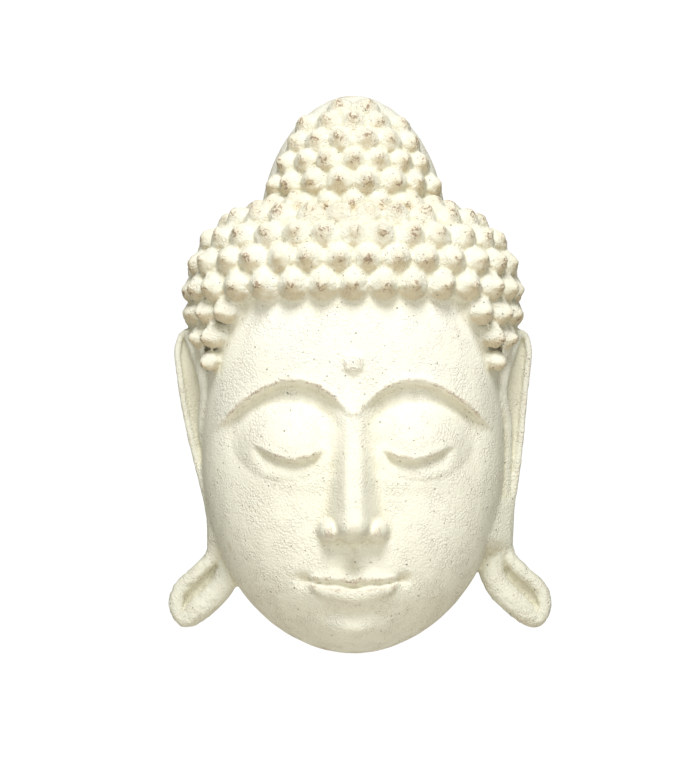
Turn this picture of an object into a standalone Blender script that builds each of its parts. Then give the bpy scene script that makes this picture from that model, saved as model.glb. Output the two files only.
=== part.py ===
"""Buddha face wall mask, cast in one piece and hollow behind.

The face looks along -Y. The flat rim of the hollow lies in the plane Y = 0, against the wall, and the origin
is on that rim, behind the top of the crown. The face is laid out on the canon of twelve parts: hairline,
brow, base of the nose and chin are four parts apart, and the face is five eyes wide.
"""

import math

import bmesh
import bpy
import numpy as np
from mathutils import Matrix, Vector

# The height of the face sets every size given in parts
FACE_HEIGHT = 0.253
PART = FACE_HEIGHT / 12

# Head, in parts: heights run from the bottom of the chin, depths from the wall
EYE_LINE = 7.0
FACE_HALF_WIDTH = 5.2
FACE_DEPTH = 4.15
SKULL_RISE = 8.6
PLAN_FULLNESS = 2.25
CAP_HEIGHT = 10.9
CAP_REACH = (5.60, 4.15, 4.5)
CAP_FULLNESS = 3.0
CROWN_HEIGHT = 14.6
CROWN_REACH = (3.15, 2.75, 4.37)
CROWN_FULLNESS = 1.9
HAIRLINE = 12.2
TEMPLE_LINE = 9.55
HAIRLINE_HALF_WIDTH = 4.75
HAIRLINE_FULLNESS = 5
MASK_HEIGHT = (CROWN_HEIGHT + CROWN_REACH[2]) * PART

# Curls of the hair, in metres
CURL_PITCH = 0.0200
CROWN_PITCH = 0.0180
ROW_STEP = 0.87
FIRST_ROW = 0.0026
TEMPLE_ROWS = 3
TEMPLE_SHRINK = 0.13
CURL_HEIGHT = 0.0125
CURL_RADIUS = 0.0117
CURL_TIP = 0.0038
CURL_SINK = 0.010
CURL_DROOP = 0.16
CURL_STRAY = 0.10
CURL_OVERHANG = 0.005
CAP_LEAN = (0.80, 2)
CROWN_LEAN = (0.95, 1)
CROWN_EDGE = 0.018

# Ears, in parts: a rim drawn through stations given as (outwards from the side of the face, up from the chin)
EAR_PATH = (
    (-0.36, 8.95), (0.06, 10.10), (0.50, 10.78), (0.70, 10.22), (0.59, 9.20), (0.39, 7.75), (0.13, 6.35),
    (-0.11, 5.20), (-0.26, 4.20), (-0.20, 3.32), (0.34, 2.68), (0.90, 2.15), (1.05, 1.58), (0.74, 1.12),
    (0.12, 1.60), (-0.48, 2.16), (-0.88, 2.93),
)
EAR_TOP = max(range(len(EAR_PATH)), key=lambda number: EAR_PATH[number][1])
LOBE_END = 13
SMOOTH_STEPS = 6
EAR_RIM = 0.16
EAR_RIM_DEPTH = 0.79
EAR_FLOOR = 0.76
NECK_HEIGHT = 4.4
NECK_LENGTH = 1.2
NECK_BEVEL = 0.4
LOBE_TOP = 3.5
LOBE_RIM = 0.25
LOBE_FOLD = 0.42
LOBE_RIM_DEPTH = 0.64
LOBE_FLOOR = 0.52
EAR_SWAY = 0.235

# Back, in metres: the wall of the cast, then a nail pocket, the origin and the hollow measured from the top
SHELL = 0.013
POCKET_TOP = 0.010
POCKET_HEIGHT = 0.012
POCKET_WIDTH = 0.012
POCKET_DEPTH = 0.014
ORIGIN_DROP = 0.029
HOLLOW_TOP = 0.036
HOLLOW_FULLNESS = 2.5

# Fineness of the solid, and its colour
VOXEL = 0.0017
TRIANGLES = 8700
DETAIL_WEIGHT = 0.002
CAST_COLOUR = (0.83, 0.81, 0.70, 1.0)
CAST_ROUGHNESS = 0.85


def ease(t):
    """Rises smoothly from 0 to 1 as t does."""
    t = np.clip(t, 0.0, 1.0)
    return t * t * (3 - 2 * t)


def mound(x, z, centre, reach):
    """A soft swelling of height 1."""
    return np.exp(-(((x - centre[0]) / reach[0]) ** 2) - ((z - centre[1]) / reach[1]) ** 2)


def dome(x, z, centre, reach, fullness=0.5):
    """A bounded swelling of height 1: half an egg at a fullness of 0.5, softer at the foot above that."""
    inside = 1 - ((x - centre[0]) / reach[0]) ** 2 - ((z - centre[1]) / reach[1]) ** 2
    return np.clip(inside, 0, 1) ** fullness


def soft_max(a, b, blend):
    return 0.5 * (a + b + np.sqrt((a - b) ** 2 + blend * blend))


def brow_line(x):
    """Height of the brow's edge: a drawn bow from the bridge of the nose to the temple."""
    t = np.clip((x - 0.15) / 4.3, 0, 1)
    return 8.05 + 1.15 * np.sin(math.pi * t**0.85) - 0.55 * t**2


def brow_relief(x, z):
    """The socket steps back under the edge of the brow and comes out again lower down."""
    below = brow_line(x) - z
    step = ease(below / 0.16 + 0.5) * (1 - ease((below - 0.3) / 2.6))
    sides = 1 - ease((x - 3.5) / 1.2)
    bridge = 0.35 + 0.65 * ease((x - 0.25) / 0.7)
    edge = np.exp(-(((below + 0.12) / 0.16) ** 2)) * ease((x - 0.1) / 0.6)
    inner = 0.16 * mound(x, z, (0.95, 7.35), (0.42, 0.6))
    return (-0.4 * step * bridge + 0.08 * edge) * sides - inner


def lash_line(x):
    """Height of the closed lid's lower edge, from the inner corner to the outer."""
    t = np.clip((x - 0.92) / 2.1, 0, 1)
    return EYE_LINE - 0.08 - 0.36 * np.sin(math.pi * t**0.9) + 0.1 * t


def eye_relief(x, z):
    """A lowered lid over the ball of the eye, with its edge standing over the lower lid."""
    ball = 0.52 * dome(x, z, (2.08, 7.25), (1.75, 1.3), 1.0)
    lower = 0.1 * mound(x, z, (2.1, 6.05), (1.2, 0.4))
    below = lash_line(x) - z
    corners = ease((x - 0.8) / 0.4) * (1 - ease((x - 2.75) / 0.5))
    cut = ease(below / 0.1 + 0.5) * (1 - ease(below / 0.8))
    edge = np.exp(-(((below + 0.12) / 0.12) ** 2))
    return ball + lower - (0.26 * cut - 0.06 * edge) * corners


def nose_relief(x, z):
    """A straight ridge from the brows to the tip, with the wings beside it."""
    along = np.clip((8.3 - z) / (8.3 - 4.75), 0, 1)
    ridge = 0.3 + 0.98 * along
    top = 1 - ease((z - 7.9) / 1.3)
    base = 4.5 + 0.25 * np.clip(x, 0, 0.8) ** 1.5
    under = np.sqrt(np.clip(1 - (np.clip(base - z, 0, None) / 0.46) ** 2, 0, 1))
    half_width = 0.5 + 0.2 * along**2
    across = 0.5 * (1 + np.cos(math.pi * np.clip((x / half_width - 0.2) / 1.2, 0, 1)))
    bridge = ridge * top * under * across
    tip = 1.5 * dome(x, z, (0, 4.6), (0.58, 0.56), 0.45)
    wings = 0.88 * dome(x, z, (0.7, 4.42), (0.4, 0.4), 0.5)
    nostril = 0.25 * mound(x, z, (0.42, 4.12), (0.16, 0.08))
    return soft_max(soft_max(bridge, tip, 0.1), wings, 0.06) - nostril - 0.03


def mouth_line(x):
    return 2.7 - 0.06 * np.cos(x * 4.6) * np.exp(-x * 1.1) + 0.1 * ease((x - 0.8) / 0.7)


def lip_relief(x, z):
    """Two full lips that meet in a shadowed line, with the corners pressed in and lifted."""
    middle = mouth_line(x)
    taper = np.clip(1 - (x / 1.55) ** 2, 0, 1)
    upper_top = middle + 0.54 * taper**0.9 - 0.1 * np.exp(-((x / 0.18) ** 2))
    lower_base = middle - 0.78 * taper**0.75
    upper_t = np.clip((z - middle) / np.maximum(upper_top - middle, 0.02), 0, 1)
    lower_t = np.clip((middle - z) / np.maximum(middle - lower_base, 0.02), 0, 1)
    upper = 0.27 * taper**0.5 * np.clip(1 - upper_t**2, 0, 1) ** 0.7 * (z >= middle)
    lower = 0.30 * taper**0.5 * np.clip(1 - np.abs(1.9 * lower_t - 0.97) ** 2.2, 0, 1) ** 0.6 * (z < middle)
    body = (upper + lower) * ease(taper / 0.4)
    line = 0.22 * np.exp(-(((z - middle) / 0.07) ** 2)) * (1 - ease((x - 1.35) / 0.25))
    corner = 0.18 * mound(x, z, (1.56, 2.8), (0.24, 0.2))
    return body - line - corner


def mouth_relief(x, z):
    """The swell of the muzzle, the lips, the groove above them and the hollow below."""
    muzzle = 0.36 * mound(x, z, (0, 2.6), (1.6, 1.25))
    groove = 0.08 * np.exp(-((x / 0.16) ** 2)) * ease((z - 3.1) / 0.3) * (1 - ease((z - 3.9) / 0.3))
    hollow = 0.15 * mound(x, z, (0, 1.66), (1.1, 0.3))
    return muzzle + lip_relief(x, z) - groove - hollow


def face_relief(x, z):
    """How far the face stands in front of the plain egg of the head, in parts."""
    x = 5 * np.abs(x) / FACE_HALF_WIDTH
    chin = 0.5 * mound(x, z, (0, 0.95), (0.95, 0.75))
    cheeks = 0.16 * mound(x, z, (2.6, 4.6), (1.5, 1.6))
    mark = 0.2 * dome(x, z, (0, 9.75), (0.34, 0.34), 0.4)
    return (
        chin + cheeks + mark + brow_relief(x, z) + eye_relief(x, z) + nose_relief(x, z) + mouth_relief(x, z)
    )


def reshape(obj, moved):
    """Moves every vertex of obj to moved(x, depth, z), where depth is measured from the wall to the front."""
    points = np.empty(len(obj.data.vertices) * 3)
    obj.data.vertices.foreach_get("co", points)
    x, y, z = points.reshape(-1, 3).T
    x, depth, z = moved(x, -y, z)
    obj.data.vertices.foreach_set("co", np.stack([x, -depth, z], 1).ravel())
    obj.data.update()


def ball(name, finer):
    """A ball of radius 1 on the origin: a cube with its faces cut in four this many times, blown up."""
    bpy.ops.mesh.primitive_cube_add(size=2)
    obj = bpy.context.object
    obj.name = name
    cut = obj.modifiers.new("finer", "SUBSURF")
    cut.subdivision_type = "SIMPLE"
    cut.levels = cut.render_levels = finer
    bpy.context.view_layer.update()
    obj = as_mesh(obj)
    points = np.empty(len(obj.data.vertices) * 3)
    obj.data.vertices.foreach_get("co", points)
    points = np.tan(points.reshape(-1, 3) * math.pi / 4)
    points /= np.linalg.norm(points, axis=1)[:, None]
    obj.data.vertices.foreach_set("co", points.ravel())
    return obj


def squared(x, depth, roundness):
    """Stretches points of the plane outwards so that circles become rounded squares."""
    ring = np.maximum(np.hypot(x, depth), 1e-9)
    size = np.abs(x / ring) ** roundness + np.abs(depth / ring) ** roundness
    stretch = np.maximum(size, 1e-6) ** (-1 / roundness)
    return x * stretch, depth * stretch


def egg(name, height, reach, finer, plan=2.0, profile=2.0):
    """An ellipsoid centred on the wall at this height, squarer in plan or profile as these go above 2."""
    obj = ball(name, finer)

    def shape(x, depth, z):
        ring = np.maximum(np.hypot(x, depth), 1e-9)
        wide, high = squared(ring, z, profile)
        x, depth = squared(x / ring, depth / ring, plan)
        return x * wide * reach[0], depth * wide * reach[1], high * reach[2] + height

    reshape(obj, shape)
    return obj


def head_blank():
    """The head without its hair: an oval drawn by its width and depth at each height, then the face on it."""
    obj = ball("head_blank", 7)

    def shape(x, depth, z):
        ring = np.maximum(np.hypot(x, depth), 1e-9)
        x, depth = squared(x / ring, depth / ring, PLAN_FULLNESS)
        down = np.clip(-z, 0, 1)
        up = np.clip(z, 0, 1)
        width = FACE_HALF_WIDTH * (1 - down**2.2) ** 0.5 * (1 - up**3) ** 0.45
        deep = FACE_DEPTH * (1 - down**5) ** 0.42 * (1 - up**4) ** 0.4
        height = EYE_LINE - EYE_LINE * down + SKULL_RISE * up
        across = x * width
        forward = depth * deep
        facing = ease(forward / (0.35 * FACE_DEPTH))
        forward = forward + face_relief(across, height) * facing
        return across * PART, forward * PART, height * PART

    reshape(obj, shape)
    return obj


def ear_station(number):
    """(half width, height) in metres of this station of the ear's rim."""
    out, up = EAR_PATH[number]
    return (FACE_HALF_WIDTH + out) * PART, up * PART


def hairline(x):
    """Height of the hair's edge over the face, in metres, at x metres from the middle."""
    across = np.clip(np.abs(x) / (HAIRLINE_HALF_WIDTH * PART), 0, 1)
    return (TEMPLE_LINE + (HAIRLINE - TEMPLE_LINE) * (1 - across**HAIRLINE_FULLNESS) ** 0.5) * PART


def flat_outline(name, points, thickness, depth):
    """A closed outline in the plane of the wall, filled and made this thick about this depth."""
    curve = bpy.data.curves.new(name, "CURVE")
    curve.dimensions = "2D"
    curve.fill_mode = "BOTH"
    curve.extrude = thickness / 2
    spline = curve.splines.new("POLY")
    spline.points.add(len(points) - 1)
    for point, (x, z) in zip(spline.points, points):
        point.co = (x, z, 0, 1)
    spline.use_cyclic_u = True
    obj = bpy.data.objects.new(name, curve)
    bpy.context.collection.objects.link(obj)
    obj.rotation_euler = (math.pi / 2, 0, 0)
    obj.location = (0, -depth, 0)
    return obj


def smooth_line(stations):
    """A smooth curve through these stations, as SMOOTH_STEPS rows to each."""
    points = np.array(stations)
    ends = np.vstack([2 * points[0] - points[1], points, 2 * points[-1] - points[-2]])
    line = []
    for a, b, c, d in zip(ends, ends[1:], ends[2:], ends[3:]):
        for t in np.arange(SMOOTH_STEPS) / SMOOTH_STEPS:
            bend = (2 * a - 5 * b + 4 * c - d) * t * t + (3 * b - a - 3 * c + d) * t**3
            line.append(0.5 * (2 * b + (c - a) * t + bend))
    return np.array([*line, points[-1]])


def rope(name, line):
    """A round bar through (x, depth, z, radius) rows."""
    curve = bpy.data.curves.new(name, "CURVE")
    curve.dimensions = "3D"
    curve.bevel_depth = 1.0
    curve.bevel_resolution = 3
    curve.use_fill_caps = True
    spline = curve.splines.new("POLY")
    spline.points.add(len(line) - 1)
    for point, (x, depth, z, radius) in zip(spline.points, line):
        point.co = (x, -depth, z, 1)
        point.radius = radius
    obj = bpy.data.objects.new(name, curve)
    bpy.context.collection.objects.link(obj)
    return obj


def as_mesh(obj):
    """The object's evaluated shape as a mesh object in world space, with loose caps welded."""
    graph = bpy.context.evaluated_depsgraph_get()
    mesh = bpy.data.meshes.new_from_object(obj.evaluated_get(graph))
    mesh.transform(obj.matrix_world)
    made = bmesh.new()
    made.from_mesh(mesh)
    bmesh.ops.remove_doubles(made, verts=made.verts, dist=1e-6)
    bmesh.ops.recalc_face_normals(made, faces=made.faces)
    made.to_mesh(mesh)
    made.free()
    name = obj.name
    bpy.data.objects.remove(obj)
    plain = bpy.data.objects.new(name, mesh)
    bpy.context.collection.objects.link(plain)
    return plain


def cap_form():
    """(height, reach, plan, profile) of the cap of hair."""
    return CAP_HEIGHT * PART, [r * PART for r in CAP_REACH], PLAN_FULLNESS, CAP_FULLNESS


def crown_form():
    """(height, reach, plan, profile) of the topknot."""
    return CROWN_HEIGHT * PART, [r * PART for r in CROWN_REACH], 2.0, CROWN_FULLNESS


def hair_cap():
    """The cap of hair, cut away over the face along the hairline and behind the ears."""
    height, reach, plan, profile = cap_form()
    cap = egg("hair_cap", height, reach, 5, plan, profile)
    side = HAIRLINE_HALF_WIDTH * PART
    under = 1 + CURL_OVERHANG / side
    arch = [(under * x, float(hairline(x)) + CURL_OVERHANG) for x in np.linspace(-side, side, 41)]
    low, far = -PART, 3 * side
    ear_side, top = ear_station(EAR_TOP)
    left = [(-far, low), (-far, top), (-ear_side, top)]
    right = [(-x, z) for x, z in reversed(left)]
    opening = as_mesh(flat_outline("face_opening", left + arch + right, 4 * FACE_HEIGHT, 0))
    cut = cap.modifiers.new("face opening", "BOOLEAN")
    cut.operation = "DIFFERENCE"
    cut.object = opening
    bpy.context.view_layer.update()
    cap = as_mesh(cap)
    bpy.data.objects.remove(opening)
    return cap


def crown():
    """The topknot that stands on the head."""
    height, reach, plan, profile = crown_form()
    return egg("crown", height, reach, 5, plan, profile)


def level(point, form):
    """Under 1 inside the form, 1 on it."""
    height, reach, plan, profile = form
    ring = (abs(point.x / reach[0]) ** plan + abs(point.y / reach[1]) ** plan) ** (1 / plan)
    return (ring**profile + abs((point.z - height) / reach[2]) ** profile) ** (1 / profile)


def outward(point, form):
    """The direction square to the form's skin at this point."""
    step = 1e-5
    sides = [Vector(row) * step for row in Matrix.Identity(3)]
    return Vector([level(point + side, form) - level(point - side, form) for side in sides]).normalized()


def ring_places(z, form, pitch, shift):
    """Evenly spaced points round the front half of the form at this height."""
    height, reach, plan, profile = form
    share = 1 - abs((z - height) / reach[2]) ** profile
    if share <= 0.02:
        return []
    wide = share ** (1 / profile)
    angles = np.linspace(-math.pi / 2, math.pi / 2, 181)
    x, depth = squared(np.sin(angles), np.cos(angles), plan)
    x, depth = x * wide * reach[0], depth * wide * reach[1]
    run = np.concatenate([[0], np.cumsum(np.hypot(np.diff(x), np.diff(depth)))])
    count = max(1, round(run[-1] / pitch))
    steps = (np.arange(-count, count + 1) + shift) * run[-1] / count + run[-1] / 2
    steps = steps[(steps >= 0) & (steps <= run[-1])]
    return [Vector((a, -b, z)) for a, b in zip(np.interp(steps, run, x), np.interp(steps, run, depth))]


def row_heights(start, form, spacing):
    """Heights of rows that lie this far apart along the front of the form, from start up."""
    height, reach, _, profile = form
    angles = np.linspace(0, math.pi / 2, 181)
    depth, z = squared(np.cos(angles), np.sin(angles), profile)
    depth, z = depth * reach[1], z * reach[2] + height
    run = np.concatenate([[0], np.cumsum(np.hypot(np.diff(depth), np.diff(z)))])
    first = np.interp(start, z, run)
    return np.interp(np.arange(first, run[-1] - 0.4 * spacing, spacing), run, z)


def temple_places(z, form, size):
    """Points this far apart from the edge of the hair back to the ear, on both sides, below the first row."""
    kept = []
    for point in ring_places(z, form, 0.1 * size, 0):
        over_face = z < hairline(point.x) + 0.25 * CURL_RADIUS
        over_ear = z < ear_station(EAR_TOP)[1] + 0.5 * CURL_RADIUS
        behind = over_ear and point.x > ear_station(0)[0] + 0.25 * (z - TEMPLE_LINE * PART)
        near = kept and (point - kept[-1]).length < size
        if point.x > 0 and not over_face and not behind and not near:
            kept.append(point)
    return kept + [Vector((-point.x, point.y, point.z)) for point in kept]


def curl_axis(point, form, lean):
    """(square to the hair, towards the tip): the tip droops, and leans forward where the hair turns back."""
    square = outward(point, form)
    down = Vector((0, 0, -1))
    down -= square * down.dot(square)
    turned = 1 - max(-square.y, 0)
    most, power = lean
    return square, square.lerp(Vector((0, -1, 0)), most * turned**power) + CURL_DROOP * down


def curl_places():
    """(point, pitch, axis) of every curl: rows round the cap, down the temples, and up the crown."""
    cap, knot = cap_form(), crown_form()
    first = HAIRLINE * PART + FIRST_ROW
    spacing = ROW_STEP * CURL_PITCH
    places = []
    for row in range(TEMPLE_ROWS, 0, -1):
        size = CURL_PITCH * (1 - TEMPLE_SHRINK * row)
        for point in temple_places(first - spacing * row, cap, size):
            places.append((point, size, curl_axis(point, cap, CAP_LEAN)))
    for number, z in enumerate(row_heights(first, cap, spacing)):
        for point in ring_places(z, cap, CURL_PITCH, 0.5 * (number % 2)):
            if level(point, knot) > 1:
                places.append((point, CURL_PITCH, curl_axis(point, cap, CAP_LEAN)))
    base = places[-1][0].z
    for number, z in enumerate(row_heights(base, knot, ROW_STEP * CROWN_PITCH)):
        for point in ring_places(z, knot, CROWN_PITCH, 0.5 * (number % 2)):
            if level(point, cap) > 1 and -point.y > CROWN_EDGE:
                places.append((point, CROWN_PITCH, curl_axis(point, knot, CROWN_LEAN)))
    return places


def curl_profile():
    """(radius, height) rows from the tip of a snail curl down to its foot in the hair."""
    return [
        (0, CURL_HEIGHT),
        (0.6 * CURL_TIP, 0.95 * CURL_HEIGHT),
        (CURL_TIP, 0.82 * CURL_HEIGHT),
        (0.55 * (CURL_TIP + CURL_RADIUS), 0.4 * CURL_HEIGHT),
        (CURL_RADIUS, -0.06 * CURL_HEIGHT),
        (0.9 * CURL_RADIUS, -CURL_SINK),
        (0, -CURL_SINK),
    ]


def curl():
    """One snail curl: a blunt cone turned from its profile."""
    profile = curl_profile()
    mesh = bpy.data.meshes.new("curl")
    mesh.from_pydata([(x, 0, z) for x, z in profile], [(i, i + 1) for i in range(len(profile) - 1)], [])
    obj = bpy.data.objects.new("curl", mesh)
    bpy.context.collection.objects.link(obj)
    turn = obj.modifiers.new("turn", "SCREW")
    turn.steps = turn.render_steps = 12
    turn.use_merge_vertices = True
    turn.merge_threshold = 0.00005
    return as_mesh(obj)


def curl_frame(number, point, pitch, axis):
    """The matrix that seats a curl: foot square to the hair, tip along the axis, no two quite alike."""
    square, tip = axis
    turned = square.to_track_quat("Z", "Y").to_matrix()
    size = pitch / CURL_PITCH * (1 + 0.6 * CURL_STRAY * math.sin(number * 12.9898))
    stray = turned.col[0] * math.sin(number * 78.233) + turned.col[1] * math.sin(number * 37.719)
    columns = Matrix((turned.col[0], turned.col[1], tip + CURL_STRAY * stray)).transposed() * size
    return Matrix.Translation(point) @ columns.to_4x4()


def curls():
    """All the curls, each a copy of one."""
    pattern = curl()
    copies = []
    for number, place in enumerate(curl_places()):
        copy = bpy.data.objects.new(f"curl_{number}", pattern.data.copy())
        copy.data.transform(curl_frame(number, *place))
        bpy.context.collection.objects.link(copy)
        copies.append(copy)
    bpy.data.objects.remove(pattern)
    return copies


def ear(side):
    """One ear: a plate off the side of the head, a rim round it and a long lobe with a slot."""

    def lobe(z):
        return 1 - ease((z - LOBE_TOP) / 2.4)

    def sway(z):
        return EAR_SWAY * (1 - ease((z - 4.2) / 5.2))

    def lean(x, depth, z):
        """The floor rises towards the head, and fills up at the neck of the lobe."""
        high = z / PART
        out = side * (x / PART - sway(high)) - FACE_HALF_WIDTH
        neck = np.exp(-(((high - NECK_HEIGHT) / NECK_LENGTH) ** 4))
        floor = EAR_FLOOR + 0.55 * np.clip(0.5 - out, 0, None) * (1 - lobe(high))
        floor = floor + (LOBE_FLOOR - floor) * lobe(high)
        filled = EAR_RIM_DEPTH + EAR_RIM + 0.05 + 0.75 * np.clip(0.1 - out, 0, None)
        floor = floor + (filled - floor) * neck
        front = depth > 0.5 * PART
        inwards = side * front * neck * NECK_BEVEL * PART
        return x - inwards, np.where(front, floor * PART, depth - 0.3 * PART), z

    out, z = smooth_line(EAR_PATH).T
    top = EAR_TOP * SMOOTH_STEPS
    fold = ease((np.arange(len(z)) / SMOOTH_STEPS - LOBE_END + 0.5) / 1.5)
    radius = EAR_RIM + (LOBE_RIM + (LOBE_FOLD - LOBE_RIM) * fold - EAR_RIM) * lobe(z)
    inner = np.where(np.arange(len(z)) < top, np.clip(EAR_PATH[EAR_TOP][0] - out, 0, None), 0)
    depth = EAR_RIM_DEPTH + (LOBE_RIM_DEPTH - EAR_RIM_DEPTH) * lobe(z) + 0.9 * inner
    across = side * (FACE_HALF_WIDTH + out) + sway(z)
    rim = as_mesh(rope("ear_rim", np.stack([across, depth, z, radius], 1) * PART))
    run_out, run_up = np.gradient(out), np.gradient(z)
    run = np.hypot(run_out, run_up)
    edge_out = (out - radius * run_up / run)[top:]
    edge_up = (z + radius * run_out / run)[top:]
    edge_out = np.append(edge_out, (-1.4, -1.2))
    edge_up = np.append(edge_up, (edge_up[-1], edge_up[0]))
    edge = side * (FACE_HALF_WIDTH + edge_out) + sway(edge_up)
    outline = np.stack([edge, edge_up], 1) * PART
    plate = as_mesh(flat_outline("ear_plate", outline, PART, 0.5 * PART))
    reshape(plate, lean)
    return [plate, rim]


def joined(name, parts):
    """The parts' meshes in one object, still overlapping."""
    whole = bmesh.new()
    for part in parts:
        whole.from_mesh(part.data)
        bpy.data.objects.remove(part)
    mesh = bpy.data.meshes.new(name)
    whole.to_mesh(mesh)
    whole.free()
    obj = bpy.data.objects.new(name, mesh)
    bpy.context.collection.objects.link(obj)
    return obj


def fused(obj):
    """The overlapping parts run into one skin of even squares, softened as a cast is."""
    skin = obj.modifiers.new("skin", "REMESH")
    skin.mode = "VOXEL"
    skin.voxel_size = VOXEL
    soften = obj.modifiers.new("soften", "SMOOTH")
    soften.factor = 0.5
    soften.iterations = 1
    bpy.context.view_layer.update()
    return as_mesh(obj)


def front_half(obj):
    """Keeps what is in front of the wall, and a little more for the wall cut to take off, in fewer faces."""
    made = bmesh.new()
    made.from_mesh(obj.data)
    spare = 2 * VOXEL
    bmesh.ops.bisect_plane(
        made, geom=made.verts[:] + made.edges[:] + made.faces[:],
        plane_co=(0, spare, 0), plane_no=(0, 1, 0), clear_outer=True,
    )
    bmesh.ops.holes_fill(made, edges=[e for e in made.edges if e.is_boundary], sides=0)
    bmesh.ops.triangulate(made, faces=made.faces)
    made.to_mesh(obj.data)
    made.free()
    plain = obj.vertex_groups.new(name="plain")
    points = np.array([vertex.co for vertex in obj.data.vertices]) / PART
    forward = ease((-points[:, 1] / FACE_DEPTH - 0.5) / 0.2)
    weights = 1 - 0.6 * dome(points[:, 0], points[:, 2], (0, 5.8), (4.2, 5.4)) * forward
    for index, weight in enumerate(weights):
        plain.add([index], float(weight), "REPLACE")
    thin = obj.modifiers.new("fewer faces", "DECIMATE")
    thin.ratio = TRIANGLES / len(obj.data.polygons)
    thin.vertex_group = plain.name
    thin.vertex_group_factor = DETAIL_WEIGHT
    bpy.context.view_layer.update()
    return as_mesh(obj)


def box(name, low, high):
    bpy.ops.mesh.primitive_cube_add(size=1)
    obj = bpy.context.object
    obj.name = name
    centre = (Vector(low) + Vector(high)) / 2
    obj.data.transform(Matrix.Translation(centre) @ Matrix.Diagonal([*(Vector(high) - Vector(low)), 1]))
    return obj


def cutters():
    """What the cast lacks: everything behind the wall plane, the hollow, and the pocket for a nail."""
    far = MASK_HEIGHT
    wall = box("wall_cut", (-far, 0, -far), (far, far, 2 * far))
    reach = (FACE_HALF_WIDTH * PART - SHELL, FACE_DEPTH * PART - 1.35 * SHELL, EYE_LINE * PART - SHELL)
    hollow = egg("hollow", (EYE_LINE + 0.35) * PART, reach, 3, PLAN_FULLNESS, HOLLOW_FULLNESS)
    reach = [r * PART - inset for r, inset in zip(CROWN_REACH, (SHELL, SHELL, HOLLOW_TOP))]
    knot = egg("crown_hollow", CROWN_HEIGHT * PART, reach, 3)
    roof = MASK_HEIGHT - POCKET_TOP
    side = POCKET_WIDTH / 2
    pocket = box("nail_pocket", (-side, -POCKET_DEPTH, roof - POCKET_HEIGHT), (side, POCKET_DEPTH, roof))
    return [wall, hollow, knot, pocket]


def cast_material():
    material = bpy.data.materials.new("whitewashed_cast")
    material.use_nodes = True
    shader = material.node_tree.nodes["Principled BSDF"]
    shader.inputs["Base Color"].default_value = CAST_COLOUR
    shader.inputs["Roughness"].default_value = CAST_ROUGHNESS
    shader.inputs["Metallic"].default_value = 0.0
    return material


def collection(name):
    made = bpy.data.collections.new(name)
    bpy.context.scene.collection.children.link(made)
    return made


def move_to(holder, obj):
    for old in list(obj.users_collection):
        old.objects.unlink(obj)
    holder.objects.link(obj)


def main():
    for old in list(bpy.data.objects):
        bpy.data.objects.remove(old)
    parts = [head_blank(), hair_cap(), crown(), *curls(), *ear(-1), *ear(1)]
    mask = front_half(fused(joined("buddha_mask", parts)))
    mask.name = "buddha_mask"
    to_origin = Matrix.Translation((0, 0, ORIGIN_DROP - MASK_HEIGHT))
    mask.data.transform(to_origin)
    mask.data.materials.append(cast_material())
    move_to(collection("buddha_face_wall_mask"), mask)
    helpers = collection("cutters")
    helpers.hide_render = True
    for cutter in cutters():
        cutter.data.transform(to_origin)
        move_to(helpers, cutter)
        cutter.hide_render = True
        cutter.display_type = "WIRE"
        cut = mask.modifiers.new(cutter.name, "BOOLEAN")
        cut.operation = "DIFFERENCE"
        cut.object = cutter
    mask.data.shade_smooth()


main()
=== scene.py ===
import math

import bmesh
import bpy
import numpy as np
from mathutils import Matrix, Vector, kdtree, noise


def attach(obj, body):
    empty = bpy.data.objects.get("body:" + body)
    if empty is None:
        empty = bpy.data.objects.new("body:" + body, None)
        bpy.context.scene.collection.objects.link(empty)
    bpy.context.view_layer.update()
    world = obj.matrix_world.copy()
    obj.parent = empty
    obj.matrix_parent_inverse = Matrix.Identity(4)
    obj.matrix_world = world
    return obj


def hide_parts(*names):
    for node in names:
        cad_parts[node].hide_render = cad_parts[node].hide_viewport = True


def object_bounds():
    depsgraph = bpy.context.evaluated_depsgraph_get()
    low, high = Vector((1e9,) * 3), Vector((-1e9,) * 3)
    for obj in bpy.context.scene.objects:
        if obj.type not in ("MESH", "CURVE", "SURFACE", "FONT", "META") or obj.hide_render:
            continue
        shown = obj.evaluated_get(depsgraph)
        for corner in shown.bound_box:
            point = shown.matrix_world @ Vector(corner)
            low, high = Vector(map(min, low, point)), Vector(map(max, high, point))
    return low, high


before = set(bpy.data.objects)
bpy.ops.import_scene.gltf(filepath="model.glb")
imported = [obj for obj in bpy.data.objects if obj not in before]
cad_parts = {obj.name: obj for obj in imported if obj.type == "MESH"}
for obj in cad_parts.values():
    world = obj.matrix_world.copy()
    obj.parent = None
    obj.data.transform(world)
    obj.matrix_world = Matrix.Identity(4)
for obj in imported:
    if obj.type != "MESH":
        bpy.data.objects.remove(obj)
cad_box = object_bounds()

# The height of the face sets every size given in parts
FACE_HEIGHT = 0.253
PART = FACE_HEIGHT / 12

# Head, in parts: heights run from the bottom of the chin, depths from the wall
EYE_LINE = 7.0
FACE_HALF_WIDTH = 5.2
FACE_DEPTH = 4.15
SKULL_RISE = 8.6
PLAN_FULLNESS = 2.25
CAP_HEIGHT = 10.9
CAP_REACH = (5.60, 4.15, 4.5)
CAP_FULLNESS = 3.0
CROWN_HEIGHT = 14.6
CROWN_REACH = (3.15, 2.75, 4.37)
CROWN_FULLNESS = 1.9
HAIRLINE = 12.2
TEMPLE_LINE = 9.55
HAIRLINE_HALF_WIDTH = 4.75
HAIRLINE_FULLNESS = 5
MASK_HEIGHT = (CROWN_HEIGHT + CROWN_REACH[2]) * PART

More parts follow.
